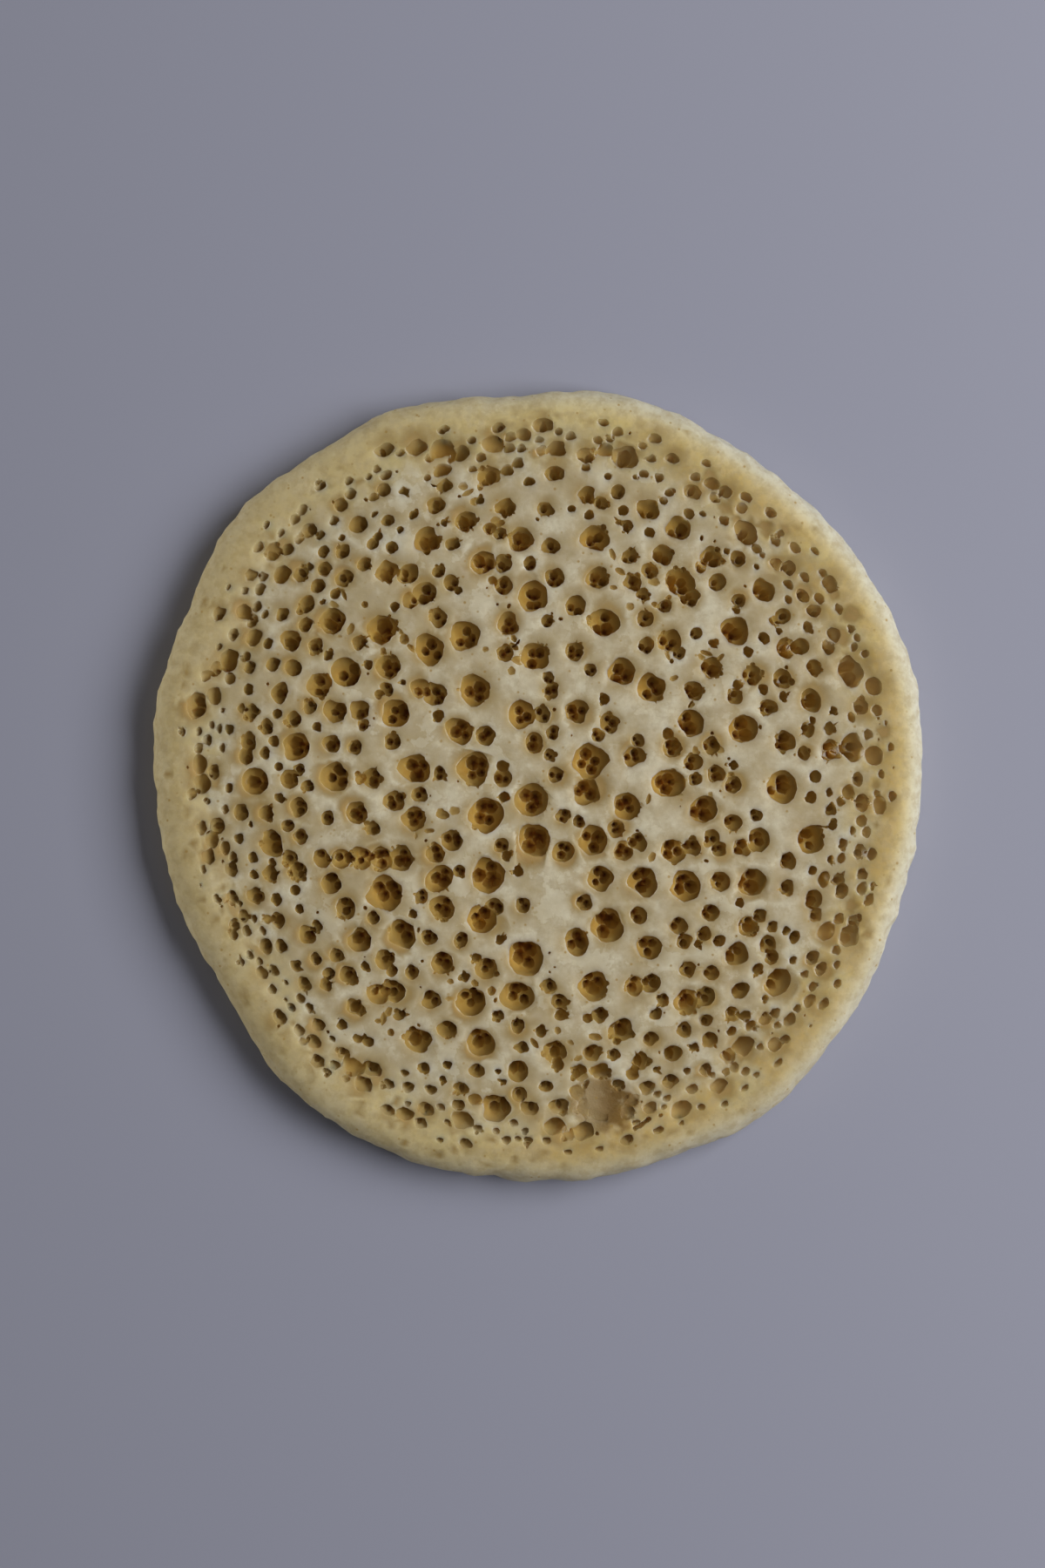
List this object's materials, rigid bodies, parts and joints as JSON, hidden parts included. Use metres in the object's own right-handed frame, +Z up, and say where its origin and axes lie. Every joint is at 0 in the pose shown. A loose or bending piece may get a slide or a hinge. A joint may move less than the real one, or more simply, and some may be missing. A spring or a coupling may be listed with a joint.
{
  "type": "qatayef pancake",
  "caption": "Thin round batter pancake, smooth and flat below, with a raised smooth rim and a top full of open bubble pits; it is folded round a filling.",
  "frame": {"origin": "middle of the bounding box at the flat underside", "axes": "+Z up through the pitted top, +X and +Y in the plane of the underside"},
  "size_m": [0.1078, 0.111, 0.0065],
  "materials": {
    "batter": "soft matt cream batter, brown inside the pits, pale yellow rim, golden underside"
  },
  "bodies": {
    "root": {"pancake": "batter"}
  },
  "joints": []
}
